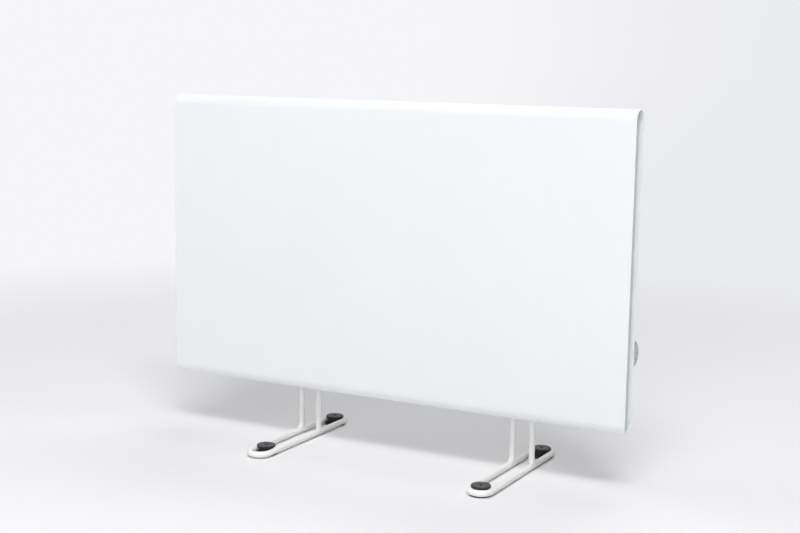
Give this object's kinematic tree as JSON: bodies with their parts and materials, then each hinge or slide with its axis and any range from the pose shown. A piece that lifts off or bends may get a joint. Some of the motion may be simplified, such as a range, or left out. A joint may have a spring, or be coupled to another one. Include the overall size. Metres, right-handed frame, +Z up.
{
  "type": "convector heater",
  "caption": "Slim electric convector heater: a white steel panel with rolled edges and a rear air duct, on two rod feet with rubber pads, with a turning thermostat knob.",
  "frame": {"origin": "on the floor, midway between the panel ends and midway between the front and rear ends of the feet", "axes": "+X to the right seen from the front, -Y towards the front of the heater, +Z up"},
  "size_m": [0.68, 0.2304, 0.476],
  "materials": {
    "white_paint": "smooth white powder coat, semi-gloss",
    "end_paint": "smooth white powder coat, semi-gloss",
    "rubber": "matt black rubber",
    "knob_plastic": "fine-grained white plastic",
    "black_plastic": "moulded black nylon",
    "galvanised": "galvanised sheet",
    "sheath_steel": "drawn stainless sheath, heat-tinted",
    "fin_aluminium": "mill finish",
    "ceramic": "unglazed steatite",
    "zinc_steel": "bright zinc plating",
    "brass": "bright",
    "brown_insulation": "silicone insulation",
    "blue_insulation": "silicone insulation",
    "green_insulation": "silicone insulation"
  },
  "bodies": {
    "heater": {"front_shell": "white_paint", "back_cover": "white_paint", "end_plate_left": "end_paint", "end_plate_right": "end_paint", "rear_housing": "white_paint", "left_foot_loop": "white_paint", "left_foot_post": "white_paint", "left_foot_socket": "black_plastic", "left_front_pad": "rubber", "left_rear_pad": "rubber", "right_foot_loop": "white_paint", "right_foot_post": "white_paint", "right_foot_socket": "black_plastic", "right_front_pad": "rubber", "right_rear_pad": "rubber", "foot_clamp_screws": "zinc_steel", "element_tube": "sheath_steel", "element_fins": "fin_aluminium", "element_bushes": "ceramic", "element_terminals": "brass", "element_holder": "galvanised", "control_partition": "galvanised", "reflector": "fin_aluminium", "thermostat_body": "black_plastic", "thermostat_nut": "zinc_steel", "thermostat_bulb": "brass", "bulb_clip": "galvanised", "overheat_cutout": "black_plastic", "cutout_screws": "zinc_steel", "terminal_block": "ceramic", "terminal_block_screw": "zinc_steel", "earth_stud": "brass", "earth_nut": "brass", "live_wires": "brown_insulation", "neutral_wire": "blue_insulation", "earth_wire": "green_insulation", "cable_gland": "black_plastic", "gland_nut": "black_plastic", "corner_screws": "zinc_steel", "plate_screws": "zinc_steel", "housing_screws": "zinc_steel", "bracket_screws": "zinc_steel"},
    "knob": {"thermostat_knob": "knob_plastic", "thermostat_shaft": "zinc_steel"}
  },
  "joints": [
    {"name": "thermostat_turn", "type": "hinge", "parent": "heater", "child": "knob", "pos_m": [0.321, 0.0294, 0.171], "axis": [-1, 0, 0], "range_deg": [0, 270]}
  ]
}
